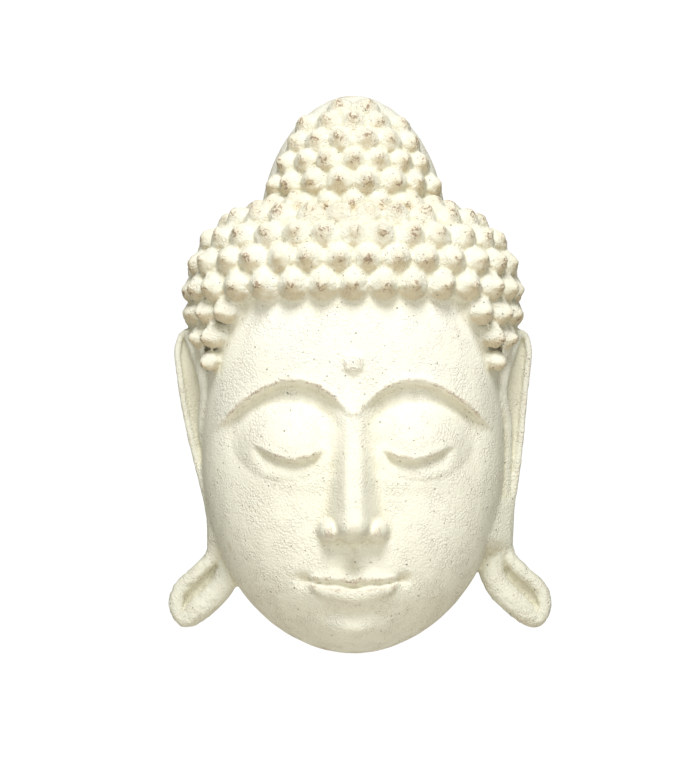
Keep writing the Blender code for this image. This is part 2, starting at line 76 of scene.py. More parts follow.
# Curls of the hair, in metres
CURL_PITCH = 0.0200
CROWN_PITCH = 0.0180
ROW_STEP = 0.87
FIRST_ROW = 0.0026
TEMPLE_ROWS = 3
TEMPLE_SHRINK = 0.13
CURL_HEIGHT = 0.0125
CURL_RADIUS = 0.0117
CURL_TIP = 0.0038
CURL_SINK = 0.010
CURL_DROOP = 0.16
CURL_STRAY = 0.10
CURL_OVERHANG = 0.005
CAP_LEAN = (0.80, 2)
CROWN_LEAN = (0.95, 1)
CROWN_EDGE = 0.018

# Ears, in parts: a rim drawn through stations given as (outwards from the side of the face, up from the chin)
EAR_PATH = (
    (-0.36, 5.20), (-0.24, 6.50), (-0.14, 7.75), (-0.30, 8.95), (0.08, 10.14), (0.50, 10.83),
    (0.75, 10.25), (0.65, 9.20), (0.46, 7.75), (0.22, 6.35), (-0.02, 5.20), (-0.20, 4.20),
    (-0.19, 3.32), (0.34, 2.68), (0.90, 2.15), (1.05, 1.58), (0.74, 1.12), (0.12, 1.60),
    (-0.46, 2.18), (-0.74, 2.85), (-0.62, 3.50), (-0.50, 4.20),
)
EAR_TOP = max(range(len(EAR_PATH)), key=lambda number: EAR_PATH[number][1])
LOBE_END = 16
SMOOTH_STEPS = 6
EAR_RIM = 0.11
EAR_INNER_RIM = 0.26
EAR_RIM_DEPTH = 0.79
EAR_FLOOR = 0.66
NECK_FOOT = 2.8
NECK_TOP = 4.9
NECK_BEVEL = 0.10
NECK_SLOPE = 0.9
NECK_SMOOTHING = 45
EAR_ROOT = 1.3
LOBE_TOP = 3.5
LOBE_RIM = 0.25
LOBE_FOLD = 0.42
LOBE_RIM_DEPTH = 0.64
LOBE_FLOOR = 0.52
EAR_SWAY = 0.235

# Back, in metres: the wall of the cast, then a nail pocket, the origin and the hollow measured from the top
SHELL = 0.013
POCKET_TOP = 0.010
POCKET_HEIGHT = 0.012
POCKET_WIDTH = 0.012
POCKET_DEPTH = 0.014
ORIGIN_DROP = 0.029
HOLLOW_TOP = 0.036
HOLLOW_FULLNESS = 2.5

# Fineness of the carved piece
BALL_CUTS = 250
VOXEL = 0.00115
TRIANGLES = 180000

# Wear and painted shade: rounds of smoothing that an edge (for wear) and a swelling (for painted shade in hollows)
# are measured against, what counts as full, and a tip's reach
NEAR_ROUNDS = 8
NEAR_STEP = 0.0004
WIDE_ROUNDS = 60
WIDE_STEP = 0.002
TIP_REACH = 0.0052


def ease(t):
    """Rises smoothly from 0 to 1 as t does."""
    t = np.clip(t, 0.0, 1.0)
    return t * t * (3 - 2 * t)


def mound(x, z, centre, reach):
    """A soft swelling of height 1."""
    return np.exp(-(((x - centre[0]) / reach[0]) ** 2) - ((z - centre[1]) / reach[1]) ** 2)


def dome(x, z, centre, reach, fullness=0.5):
    """A bounded swelling of height 1: half an egg at a fullness of 0.5, softer at the foot above that."""
    inside = 1 - ((x - centre[0]) / reach[0]) ** 2 - ((z - centre[1]) / reach[1]) ** 2
    return np.clip(inside, 0, 1) ** fullness


def soft_max(a, b, blend):
    return 0.5 * (a + b + np.sqrt((a - b) ** 2 + blend * blend))


def brow_line(x):
    """Height of the brow's edge: a drawn bow from the bridge of the nose to the temple."""
    t = np.clip((x - 0.15) / 4.3, 0, 1)
    return 8.05 + 1.15 * np.sin(math.pi * t**0.85) - 0.55 * t**2


def brow_relief(x, z):
    """The socket steps back under the edge of the brow and comes out again lower down."""
    below = brow_line(x) - z
    step = ease(below / 0.16 + 0.5) * (1 - ease((below - 0.3) / 2.6))
    sides = 1 - ease((x - 3.5) / 1.2)
    bridge = 0.35 + 0.65 * ease((x - 0.25) / 0.7)
    edge = np.exp(-(((below + 0.12) / 0.16) ** 2)) * ease((x - 0.1) / 0.6)
    inner = 0.16 * mound(x, z, (0.95, 7.35), (0.42, 0.6))
    return (-0.4 * step * bridge + 0.08 * edge) * sides - inner


def lash_line(x):
    """Height of the closed lid's lower edge, from the inner corner to the outer."""
    t = np.clip((x - 0.92) / 2.1, 0, 1)
    return EYE_LINE - 0.08 - 0.36 * np.sin(math.pi * t**0.9) + 0.1 * t


def eye_relief(x, z):
    """A lowered lid over the ball of the eye, with its edge standing over the lower lid."""
    ball = 0.52 * dome(x, z, (2.08, 7.25), (1.75, 1.3), 1.0)
    lower = 0.1 * mound(x, z, (2.1, 6.05), (1.2, 0.4))
    below = lash_line(x) - z
    corners = ease((x - 0.8) / 0.4) * (1 - ease((x - 2.75) / 0.5))
    cut = ease(below / 0.1 + 0.5) * (1 - ease(below / 0.8))
    edge = np.exp(-(((below + 0.12) / 0.12) ** 2))
    return ball + lower - (0.26 * cut - 0.06 * edge) * corners


def nose_relief(x, z):
    """A straight ridge from the brows to the tip, with the wings beside it."""
    along = np.clip((8.3 - z) / (8.3 - 4.75), 0, 1)
    ridge = 0.3 + 0.98 * along
    top = 1 - ease((z - 7.9) / 1.3)
    base = 4.5 + 0.25 * np.clip(x, 0, 0.8) ** 1.5
    under = np.sqrt(np.clip(1 - (np.clip(base - z, 0, None) / 0.46) ** 2, 0, 1))
    half_width = 0.5 + 0.2 * along**2
    across = 0.5 * (1 + np.cos(math.pi * np.clip((x / half_width - 0.2) / 1.2, 0, 1)))
    bridge = ridge * top * under * across
    tip = 1.5 * dome(x, z, (0, 4.6), (0.58, 0.56), 0.45)
    wings = 0.88 * dome(x, z, (0.7, 4.42), (0.4, 0.4), 0.5)
    nostril = 0.25 * mound(x, z, (0.42, 4.12), (0.16, 0.08))
    return soft_max(soft_max(bridge, tip, 0.1), wings, 0.06) - nostril - 0.03


def mouth_line(x):
    return 2.7 - 0.06 * np.cos(x * 4.6) * np.exp(-x * 1.1) + 0.1 * ease((x - 0.8) / 0.7)


def lip_relief(x, z):
    """Two full lips that meet in a shadowed line, with the corners pressed in and lifted."""
    middle = mouth_line(x)
    taper = np.clip(1 - (x / 1.55) ** 2, 0, 1)
    upper_top = middle + 0.54 * taper**0.9 - 0.1 * np.exp(-((x / 0.18) ** 2))
    lower_base = middle - 0.78 * taper**0.75
    upper_t = np.clip((z - middle) / np.maximum(upper_top - middle, 0.02), 0, 1)
    lower_t = np.clip((middle - z) / np.maximum(middle - lower_base, 0.02), 0, 1)
    upper = 0.27 * taper**0.5 * np.clip(1 - upper_t**2, 0, 1) ** 0.7 * (z >= middle)
    lower = 0.30 * taper**0.5 * np.clip(1 - np.abs(1.9 * lower_t - 0.97) ** 2.2, 0, 1) ** 0.6 * (z < middle)
    body = (upper + lower) * ease(taper / 0.4)
    line = 0.22 * np.exp(-(((z - middle) / 0.07) ** 2)) * (1 - ease((x - 1.35) / 0.25))
    corner = 0.18 * mound(x, z, (1.56, 2.8), (0.24, 0.2))
    return body - line - corner


def mouth_relief(x, z):
    """The swell of the muzzle, the lips, the groove above them and the hollow below."""
    muzzle = 0.36 * mound(x, z, (0, 2.6), (1.6, 1.25))
    groove = 0.08 * np.exp(-((x / 0.16) ** 2)) * ease((z - 3.1) / 0.3) * (1 - ease((z - 3.9) / 0.3))
    hollow = 0.15 * mound(x, z, (0, 1.66), (1.1, 0.3))
    return muzzle + lip_relief(x, z) - groove - hollow


def face_relief(x, z):
    """How far the face stands in front of the plain egg of the head, in parts."""
    x = 5 * np.abs(x) / FACE_HALF_WIDTH
    chin = 0.5 * mound(x, z, (0, 0.95), (0.95, 0.75))
    cheeks = 0.16 * mound(x, z, (2.6, 4.6), (1.5, 1.6))
    mark = 0.2 * dome(x, z, (0, 9.75), (0.34, 0.34), 0.4)
    return (
        chin + cheeks + mark + brow_relief(x, z) + eye_relief(x, z) + nose_relief(x, z) + mouth_relief(x, z)
    )


def select_only(obj):
    bpy.ops.object.select_all(action="DESELECT")
    obj.select_set(True)
    bpy.context.view_layer.objects.active = obj


def finish_modifiers(obj):
    """Applies the modifiers of this object in their order."""
    select_only(obj)
    for modifier in list(obj.modifiers):
        bpy.ops.object.modifier_apply(modifier=modifier.name)


def reshape(obj, moved):
    """Moves every vertex of obj to moved(x, depth, z), where depth is measured from the wall to the front."""
    points = np.empty(len(obj.data.vertices) * 3)
    obj.data.vertices.foreach_get("co", points)
    x, y, z = points.reshape(-1, 3).T
    x, depth, z = moved(x, -y, z)
    obj.data.vertices.foreach_set("co", np.stack([x, -depth, z], 1).ravel())
    obj.data.update()


def ball(name, cuts):
    """A ball of radius 1 on the origin, made of even squares: a cube cut this often and blown up round."""
    bpy.ops.object.select_all(action="DESELECT")
    bpy.ops.mesh.primitive_cube_add(size=2)
    obj = bpy.context.object
    obj.name = name
    bpy.ops.object.mode_set(mode="EDIT")
    bpy.ops.mesh.subdivide(number_cuts=cuts)
    bpy.ops.object.mode_set(mode="OBJECT")
    points = np.empty(len(obj.data.vertices) * 3)
    obj.data.vertices.foreach_get("co", points)
    points = np.tan(points.reshape(-1, 3) * math.pi / 4)
    points /= np.linalg.norm(points, axis=1)[:, None]
    obj.data.vertices.foreach_set("co", points.ravel())
    return obj


def squared(x, depth, roundness):
    """Stretches points of the plane outwards so that circles become rounded squares."""
    ring = np.maximum(np.hypot(x, depth), 1e-9)
    size = np.abs(x / ring) ** roundness + np.abs(depth / ring) ** roundness
    stretch = np.maximum(size, 1e-6) ** (-1 / roundness)
    return x * stretch, depth * stretch


def egg(name, height, reach, cuts, plan=2.0, profile=2.0):
    """An ellipsoid centred on the wall at this height, squarer in plan or profile as these go above 2."""
    obj = ball(name, cuts)

    def shape(x, depth, z):
        ring = np.maximum(np.hypot(x, depth), 1e-9)
        wide, high = squared(ring, z, profile)
        x, depth = squared(x / ring, depth / ring, plan)
        return x * wide * reach[0], depth * wide * reach[1], high * reach[2] + height

    reshape(obj, shape)
    return obj


def head():
    """The head without its hair: an oval drawn by its width and depth at each height, then the face on it."""
    obj = ball("head", BALL_CUTS)

    def shape(x, depth, z):
        ring = np.maximum(np.hypot(x, depth), 1e-9)
        x, depth = squared(x / ring, depth / ring, PLAN_FULLNESS)
        down = np.clip(-z, 0, 1)
        up = np.clip(z, 0, 1)
        width = FACE_HALF_WIDTH * (1 - down**2.2) ** 0.5 * (1 - up**3) ** 0.45
        deep = FACE_DEPTH * (1 - down**5) ** 0.42 * (1 - up**4) ** 0.4
        height = EYE_LINE - EYE_LINE * down + SKULL_RISE * up
        across = x * width
        forward = depth * deep
        facing = ease(forward / (0.35 * FACE_DEPTH))
        forward = forward + face_relief(across, height) * facing
        return across * PART, forward * PART, height * PART

    reshape(obj, shape)
    return obj


def ear_station(number):
    """(half width, height) in metres of this station of the ear's rim."""
    out, up = EAR_PATH[number]
    return (FACE_HALF_WIDTH + out) * PART, up * PART


def hairline(x):
    """Height of the hair's edge over the face, in metres, at x metres from the middle."""
    across = np.clip(np.abs(x) / (HAIRLINE_HALF_WIDTH * PART), 0, 1)
    return (TEMPLE_LINE + (HAIRLINE - TEMPLE_LINE) * (1 - across**HAIRLINE_FULLNESS) ** 0.5) * PART


def smooth_line(stations):
    """A smooth curve through these stations, as SMOOTH_STEPS rows to each."""
    points = np.array(stations)
    ends = np.vstack([2 * points[0] - points[1], points, 2 * points[-1] - points[-2]])
    line = []
    for a, b, c, d in zip(ends, ends[1:], ends[2:], ends[3:]):
        for t in np.arange(SMOOTH_STEPS) / SMOOTH_STEPS:
            bend = (2 * a - 5 * b + 4 * c - d) * t * t + (3 * b - a - 3 * c + d) * t**3
            line.append(0.5 * (2 * b + (c - a) * t + bend))
    return np.array([*line, points[-1]])


def flat_outline(name, points, thickness, depth):
    """A closed outline in the plane of the wall, filled and made this thick about this depth."""
    curve = bpy.data.curves.new(name, "CURVE")
    curve.dimensions = "2D"
    curve.fill_mode = "BOTH"
    curve.extrude = thickness / 2
    spline = curve.splines.new("POLY")
    spline.points.add(len(points) - 1)
    for point, (x, z) in zip(spline.points, points):
        point.co = (x, z, 0, 1)
    spline.use_cyclic_u = True
    obj = bpy.data.objects.new(name, curve)
    bpy.context.collection.objects.link(obj)
    obj.rotation_euler = (math.pi / 2, 0, 0)
    obj.location = (0, -depth, 0)
    return meshed(obj)


def rope(name, line):
    """A round bar through (x, depth, z, radius) rows."""
    curve = bpy.data.curves.new(name, "CURVE")
    curve.dimensions = "3D"
    curve.bevel_depth = 1.0
    curve.bevel_resolution = 6
    curve.use_fill_caps = True
    spline = curve.splines.new("POLY")
    spline.points.add(len(line) - 1)
    for point, (x, depth, z, radius) in zip(spline.points, line):
        point.co = (x, -depth, z, 1)
        point.radius = radius
    obj = bpy.data.objects.new(name, curve)
    bpy.context.collection.objects.link(obj)
    return meshed(obj)


def meshed(obj):
    """A curve made a mesh in its place, its caps welded and its faces turned outwards."""
    select_only(obj)
    bpy.ops.object.convert(target="MESH")
    bpy.ops.object.transform_apply(location=True, rotation=True, scale=True)
    weld(obj)
    return obj


def weld(obj):
    select_only(obj)
    bpy.ops.object.mode_set(mode="EDIT")
    bpy.ops.mesh.select_all(action="SELECT")
    bpy.ops.mesh.remove_doubles(threshold=1e-6)
    bpy.ops.mesh.normals_make_consistent(inside=False)
    bpy.ops.object.mode_set(mode="OBJECT")


def cap_form():
    """(height, reach, plan, profile) of the cap of hair."""
    return CAP_HEIGHT * PART, [r * PART for r in CAP_REACH], PLAN_FULLNESS, CAP_FULLNESS


def crown_form():
    """(height, reach, plan, profile) of the topknot."""
    return CROWN_HEIGHT * PART, [r * PART for r in CROWN_REACH], 2.0, CROWN_FULLNESS


def cut_away(obj, cutter):
    """Takes the cutter's shape out of obj, and the cutter away."""
    cut = obj.modifiers.new(cutter.name, "BOOLEAN")
    cut.operation = "DIFFERENCE"
    cut.solver = "EXACT"
    cut.object = cutter
    finish_modifiers(obj)
    bpy.data.objects.remove(cutter)


def hair_cap():
    """The cap of hair, cut away over the face along the hairline and behind the ears."""
    height, reach, plan, profile = cap_form()
    cap = egg("hair_cap", height, reach, 60, plan, profile)
    side = HAIRLINE_HALF_WIDTH * PART
    under = 1 + CURL_OVERHANG / side
    arch = [(under * x, float(hairline(x)) + CURL_OVERHANG) for x in np.linspace(-side, side, 81)]
    low, far = -PART, 3 * side
    ear_side, top = ear_station(EAR_TOP)
    left = [(-far, low), (-far, top), (-ear_side, top)]
    right = [(-x, z) for x, z in reversed(left)]
    cut_away(cap, flat_outline("face_opening", left + arch + right, 4 * FACE_HEIGHT, 0))
    return cap


def crown():
    """The topknot that stands on the head."""
    height, reach, plan, profile = crown_form()
    return egg("crown", height, reach, 60, plan, profile)


def level(point, form):
    """Under 1 inside the form, 1 on it."""
    height, reach, plan, profile = form
    ring = (abs(point.x / reach[0]) ** plan + abs(point.y / reach[1]) ** plan) ** (1 / plan)
    return (ring**profile + abs((point.z - height) / reach[2]) ** profile) ** (1 / profile)


def outward(point, form):
    """The direction square to the form's skin at this point."""
    step = 1e-5
    sides = [Vector(row) * step for row in Matrix.Identity(3)]
    return Vector([level(point + side, form) - level(point - side, form) for side in sides]).normalized()


def ring_places(z, form, pitch, shift):
    """Evenly spaced points round the front half of the form at this height."""
    height, reach, plan, profile = form
    share = 1 - abs((z - height) / reach[2]) ** profile
    if share <= 0.02:
        return []
    wide = share ** (1 / profile)
    angles = np.linspace(-math.pi / 2, math.pi / 2, 181)
    x, depth = squared(np.sin(angles), np.cos(angles), plan)
    x, depth = x * wide * reach[0], depth * wide * reach[1]
    run = np.concatenate([[0], np.cumsum(np.hypot(np.diff(x), np.diff(depth)))])
    count = max(1, round(run[-1] / pitch))
    steps = (np.arange(-count, count + 1) + shift) * run[-1] / count + run[-1] / 2
    steps = steps[(steps >= 0) & (steps <= run[-1])]
    return [Vector((a, -b, z)) for a, b in zip(np.interp(steps, run, x), np.interp(steps, run, depth))]


def row_heights(start, form, spacing):
    """Heights of rows that lie this far apart along the front of the form, from start up."""
    height, reach, _, profile = form
    angles = np.linspace(0, math.pi / 2, 181)
    depth, z = squared(np.cos(angles), np.sin(angles), profile)
    depth, z = depth * reach[1], z * reach[2] + height
    run = np.concatenate([[0], np.cumsum(np.hypot(np.diff(depth), np.diff(z)))])
    first = np.interp(start, z, run)
    return np.interp(np.arange(first, run[-1] - 0.4 * spacing, spacing), run, z)


def temple_places(z, form, size):
    """Points this far apart from the edge of the hair back to the ear, on both sides, below the first row."""
    kept = []
    for point in ring_places(z, form, 0.1 * size, 0):
        over_face = z < hairline(point.x) + 0.25 * CURL_RADIUS
        over_ear = z < ear_station(EAR_TOP)[1] + 0.5 * CURL_RADIUS
        behind = over_ear and point.x > ear_station(0)[0] + 0.25 * (z - TEMPLE_LINE * PART)
        near = kept and (point - kept[-1]).length < size
        if point.x > 0 and not over_face and not behind and not near:
            kept.append(point)
    return kept + [Vector((-point.x, point.y, point.z)) for point in kept]


def curl_axis(point, form, lean):
    """(square to the hair, towards the tip): the tip droops, and leans forward where the hair turns back."""
    square = outward(point, form)
    down = Vector((0, 0, -1))
    down -= square * down.dot(square)
    turned = 1 - max(-square.y, 0)
    most, power = lean
    return square, square.lerp(Vector((0, -1, 0)), most * turned**power) + CURL_DROOP * down


def curl_places():
    """(point, pitch, axis) of every curl: rows round the cap, down the temples, and up the crown."""
    cap, knot = cap_form(), crown_form()
    first = HAIRLINE * PART + FIRST_ROW
    spacing = ROW_STEP * CURL_PITCH
    places = []
    for row in range(TEMPLE_ROWS, 0, -1):
        size = CURL_PITCH * (1 - TEMPLE_SHRINK * row)
        for point in temple_places(first - spacing * row, cap, size):
            places.append((point, size, curl_axis(point, cap, CAP_LEAN)))
    for number, z in enumerate(row_heights(first, cap, spacing)):
        for point in ring_places(z, cap, CURL_PITCH, 0.5 * (number % 2)):
            if level(point, knot) > 1:
                places.append((point, CURL_PITCH, curl_axis(point, cap, CAP_LEAN)))
    base = places[-1][0].z
    for number, z in enumerate(row_heights(base, knot, ROW_STEP * CROWN_PITCH)):
        for point in ring_places(z, knot, CROWN_PITCH, 0.5 * (number % 2)):
            if level(point, cap) > 1 and -point.y > CROWN_EDGE:
                places.append((point, CROWN_PITCH, curl_axis(point, knot, CROWN_LEAN)))
    return places


def curl_profile():
    """(radius, height) rows from the tip of a snail curl down to its foot in the hair."""
    return [
        (0, CURL_HEIGHT),
        (0.6 * CURL_TIP, 0.95 * CURL_HEIGHT),
        (CURL_TIP, 0.82 * CURL_HEIGHT),
        (0.55 * (CURL_TIP + CURL_RADIUS), 0.4 * CURL_HEIGHT),
        (CURL_RADIUS, -0.06 * CURL_HEIGHT),
        (0.9 * CURL_RADIUS, -CURL_SINK),
        (0, -CURL_SINK),
    ]


def curl_profile():
    """(radius, height) rows from the tip of a snail curl down to its foot in the hair."""
    return [
        (0, CURL_HEIGHT),
        (0.6 * CURL_TIP, 0.95 * CURL_HEIGHT),
        (CURL_TIP, 0.82 * CURL_HEIGHT),
        (0.55 * (CURL_TIP + CURL_RADIUS), 0.4 * CURL_HEIGHT),
        (CURL_RADIUS, -0.06 * CURL_HEIGHT),
        (0.9 * CURL_RADIUS, -CURL_SINK),
        (0, -CURL_SINK),
    ]


def curl():
    """One snail curl: a blunt cone drawn up from a disc ring by ring."""
    rings = curl_profile()[-2:0:-1]
    bpy.ops.object.select_all(action="DESELECT")
    bpy.ops.mesh.primitive_circle_add(vertices=20, radius=rings[0][0], fill_type="NGON", location=(0, 0, rings[0][1]))
    obj = bpy.context.object
    obj.name = "curl"
    bpy.ops.object.transform_apply(location=True, rotation=False, scale=False)
    bpy.ops.object.mode_set(mode="EDIT")
    bpy.ops.mesh.select_all(action="SELECT")
    for (radius, height), (wider, higher) in zip(rings, rings[1:]):
        bpy.ops.mesh.extrude_region_move(TRANSFORM_OT_translate={"value": (0, 0, higher - height)})
        bpy.ops.transform.resize(value=(wider / radius, wider / radius, 1), center_override=(0, 0, higher))
    bpy.ops.mesh.poke(offset=CURL_HEIGHT - rings[-1][1])
    bpy.ops.object.mode_set(mode="OBJECT")
    weld(obj)
    return obj


def curl_frame(number, point, pitch, axis):
    """The matrix that seats a curl: foot square to the hair, tip along the axis, no two quite alike."""
    square, tip = axis
    turned = square.to_track_quat("Z", "Y").to_matrix()
    size = pitch / CURL_PITCH * (1 + 0.6 * CURL_STRAY * math.sin(number * 12.9898))
    stray = turned.col[0] * math.sin(number * 78.233) + turned.col[1] * math.sin(number * 37.719)
    columns = Matrix((turned.col[0], turned.col[1], tip + CURL_STRAY * stray)).transposed() * size
    return Matrix.Translation(point) @ columns.to_4x4()


def curls(seats):
    """All the curls, each a copy of one in its seat."""
    pattern = curl()
    copies = []
    for number, seat in enumerate(seats):
        copy = bpy.data.objects.new(f"curl_{number}", pattern.data.copy())
        copy.data.transform(seat)
        bpy.context.collection.objects.link(copy)
        copies.append(copy)
    bpy.data.objects.remove(pattern)
    return copies


def ear(side):
    """One ear: a plate off the side of the head, a rim round it and a long lobe with a slot."""

    def lobe(z):
        return 1 - ease((z - LOBE_TOP) / 2.4)

    def sway(z):
        return EAR_SWAY * (1 - ease((z - 4.2) / 5.2))

    def lean(x, depth, z):
        """The floor rises towards the head, and fills up at the neck of the lobe."""
        high = z / PART
        out = side * (x / PART - sway(high)) - FACE_HALF_WIDTH
        neck = ease((high - NECK_FOOT) / 1.2) * (1 - ease((high - NECK_TOP) / 1.1))
        floor = EAR_FLOOR + 0.3 * np.clip(0.1 - out, 0, None) * (1 - lobe(high))
        floor = floor + (LOBE_FLOOR - floor) * lobe(high)
        filled = EAR_RIM_DEPTH + EAR_RIM + NECK_SLOPE * np.clip(0.1 - out, 0, None)
        floor = floor + (filled - floor) * neck
        front = depth > 0.5 * PART
        inwards = side * front * neck * NECK_BEVEL * PART
        return x - inwards, np.where(front, floor * PART, depth - 0.3 * PART), z

    out, z = smooth_line(EAR_PATH).T
    top = EAR_TOP * SMOOTH_STEPS
    fold = ease((np.arange(len(z)) / SMOOTH_STEPS - LOBE_END + 0.5) / 1.5)
    radius = EAR_RIM + (LOBE_RIM + (LOBE_FOLD - LOBE_RIM) * fold - EAR_RIM) * lobe(z)
    inner = np.where(np.arange(len(z)) < top, np.clip(EAR_PATH[EAR_TOP][0] - out, 0, None), 0)
    radius += (EAR_INNER_RIM - EAR_RIM) * (1 - ease((np.arange(len(z)) / SMOOTH_STEPS - 3) / 2.5))
    depth = EAR_RIM_DEPTH + (LOBE_RIM_DEPTH - EAR_RIM_DEPTH) * lobe(z)
    depth = depth + 0.8 * inner * ease((z - 6.8) / 2.2)
    across = side * (FACE_HALF_WIDTH + out) + sway(z)
    rim = rope("ear_rim", np.stack([across, depth, z, radius], 1) * PART)
    run_out, run_up = np.gradient(out), np.gradient(z)
    run = np.hypot(run_out, run_up)
    edge_out = (out - radius * run_up / run)[top:]
    edge_up = (z + radius * run_out / run)[top:]
    stations = np.linspace(edge_up[-1], edge_up[0], 25)
    edge_out = np.append(edge_out, np.full(len(stations), -EAR_ROOT))
    edge_up = np.append(edge_up, stations)
    edge = side * (FACE_HALF_WIDTH + edge_out) + sway(edge_up)
    outline = np.stack([edge, edge_up], 1) * PART
    plate = flat_outline("ear_plate", outline, PART, 0.5 * PART)
    reshape(plate, lean)
    return [plate, rim]


def joined(name, parts):
    """The parts as one object, still overlapping."""
    bpy.ops.object.select_all(action="DESELECT")
    for part in parts:
        part.select_set(True)
    bpy.context.view_layer.objects.active = parts[0]
    bpy.ops.object.join()
    parts[0].name = name
    return parts[0]


def fuse(obj):
    """Runs the overlapping parts into one skin of even squares, softened as a cast is."""
    skin = obj.modifiers.new("skin", "REMESH")
    skin.mode = "VOXEL"
    skin.voxel_size = VOXEL
    soften = obj.modifiers.new("soften", "SMOOTH")
    soften.factor = 0.5
    soften.iterations = 1
    finish_modifiers(obj)


def soften_necks(obj):
    """The strip between each ear and its lobe runs smoothly into both."""
    points = vertices_of(obj)
    high = points[:, 2] / PART
    share = ease((np.abs(points[:, 0]) / PART - 4.45) / 0.25)
    share = share * ease((high - 2.9) / 0.5) * (1 - ease((high - 5.0) / 0.5))
    group = obj.vertex_groups.new(name="necks")
    for number in np.flatnonzero(share):
        group.add([int(number)], float(share[number]), "REPLACE")
    smooth = obj.modifiers.new("smooth_necks", "SMOOTH")
    smooth.vertex_group = "necks"
    smooth.iterations = NECK_SMOOTHING
    finish_modifiers(obj)
    obj.vertex_groups.clear()


def keep_front(obj):
    """Keeps what is in front of the wall, and a little more for the wall cut to take off."""
    select_only(obj)
    bpy.ops.object.mode_set(mode="EDIT")
    bpy.ops.mesh.select_all(action="SELECT")
    bpy.ops.mesh.bisect(plane_co=(0, 2 * VOXEL, 0), plane_no=(0, 1, 0), use_fill=True, clear_outer=True)
    bpy.ops.mesh.select_all(action="SELECT")
    bpy.ops.mesh.quads_convert_to_tris()
    bpy.ops.object.mode_set(mode="OBJECT")


def thin_out(obj, triangles):
    """Fewer faces, with the face itself kept finest."""
    plain = obj.vertex_groups.new(name="plain")
    points = vertices_of(obj) / PART
    forward = ease((-points[:, 1] / FACE_DEPTH - 0.5) / 0.2)
    weights = 1 - 0.6 * dome(points[:, 0], points[:, 2], (0, 5.8), (4.2, 5.4)) * forward
    for index, weight in enumerate(weights):
        plain.add([index], float(weight), "REPLACE")
    thin = obj.modifiers.new("fewer faces", "DECIMATE")
    thin.ratio = triangles / len(obj.data.polygons)
    thin.vertex_group = plain.name
    thin.vertex_group_factor = 0.0002
    finish_modifiers(obj)


def vertices_of(obj):
    points = np.empty(len(obj.data.vertices) * 3)
    obj.data.vertices.foreach_get("co", points)
    return points.reshape(-1, 3)


def normals_of(obj):
    normals = np.empty(len(obj.data.vertices) * 3)
    obj.data.vertices.foreach_get("normal", normals)
    return normals.reshape(-1, 3)


def from_tips(points, tips):
    """How far each point lies from the nearest tip of a curl."""
    tree = kdtree.KDTree(len(tips))
    for number, tip in enumerate(tips):
        tree.insert(tip, number)
    tree.balance()
    return np.array([tree.find(point)[2] for point in points])


def roughen(obj, tips):
    """The unevenness of a hand-carved original under a thick coat: coarser on the hair and on the ears."""
    points = vertices_of(obj)
    normals = normals_of(obj)
    hair = 1 - ease((from_tips(points, tips) - 0.012) / 0.005)
    ears = ease((np.abs(points[:, 0]) - 0.09) / 0.006) * (1 - hair)
    ears = ears * (1 + 1.6 * (1 - ease((points[:, 2] / PART - LOBE_TOP) / 0.6)))
    lift = []
    for point, on_hair, on_ear in zip(points, hair, ears):
        place = Vector(point)
        skin = 0.00022 * noise.noise(place * 95) + 0.00014 * noise.noise(place * 260)
        knobs = 0.0009 * noise.noise(place * 150) + 0.0006 * noise.noise(place * 330)
        chips = 0.00030 * noise.noise(place * 330)
        lift.append(skin + on_hair * knobs + on_ear * chips)
    points += normals * np.array(lift)[:, None]
    obj.data.vertices.foreach_set("co", points.ravel())
    obj.data.update()


def hold_within(obj, low, high):
    """Presses what the thick coat lifts past the cast's own outside back onto it."""
    edge = np.array([0.00002, 0, 0.00002])
    points = np.clip(vertices_of(obj), np.array(low) + edge, np.array(high) - edge)
    obj.data.vertices.foreach_set("co", points.ravel())
    obj.data.update()


def box(name, low, high):
    bpy.ops.object.select_all(action="DESELECT")
    bpy.ops.mesh.primitive_cube_add(size=1, location=(Vector(low) + Vector(high)) / 2)
    obj = bpy.context.object
    obj.name = name
    obj.scale = Vector(high) - Vector(low)
    bpy.ops.object.transform_apply(location=True, rotation=False, scale=True)
    return obj


def hollows():
    """(height, reach, plan, profile) of the two hollows, behind the face and behind the crown."""
    face = (FACE_HALF_WIDTH * PART - SHELL, FACE_DEPTH * PART - 1.35 * SHELL, EYE_LINE * PART - SHELL)
    knot = [r * PART - inset for r, inset in zip(CROWN_REACH, (SHELL, SHELL, HOLLOW_TOP))]
    return [
        ((EYE_LINE + 0.35) * PART, face, PLAN_FULLNESS, HOLLOW_FULLNESS),
        (CROWN_HEIGHT * PART, knot, 2.0, 2.0),
    ]


def open_back(obj):
    """Cuts the piece flat against the wall, hollow behind, and with a pocket for a nail."""
    far = MASK_HEIGHT
    cut_away(obj, box("wall_cut", (-far, 0, -far), (far, far, 2 * far)))
    for height, reach, plan, profile in hollows():
        cut_away(obj, egg("hollow", height, reach, 24, plan, profile))
    roof = MASK_HEIGHT - POCKET_TOP
    side = POCKET_WIDTH / 2
    pocket = box("nail_pocket", (-side, -POCKET_DEPTH, roof - POCKET_HEIGHT), (side, POCKET_DEPTH, roof))
    cut_away(obj, pocket)


def smoothed(values, edges, counts, times):
    """The values spread over their neighbours this many times."""
    for _ in range(times):
        total = np.stack([
            np.bincount(edges[:, 0], values[edges[:, 1], i], len(values))
            + np.bincount(edges[:, 1], values[edges[:, 0], i], len(values))
            for i in range(values.shape[1])
        ], 1)
        values = 0.5 * values + 0.5 * total / counts[:, None]
    return values


def store(obj, name, values):
    field = obj.data.attributes.new(name, "FLOAT", "POINT")
    field.data.foreach_set("value", np.ascontiguousarray(values, np.float32))


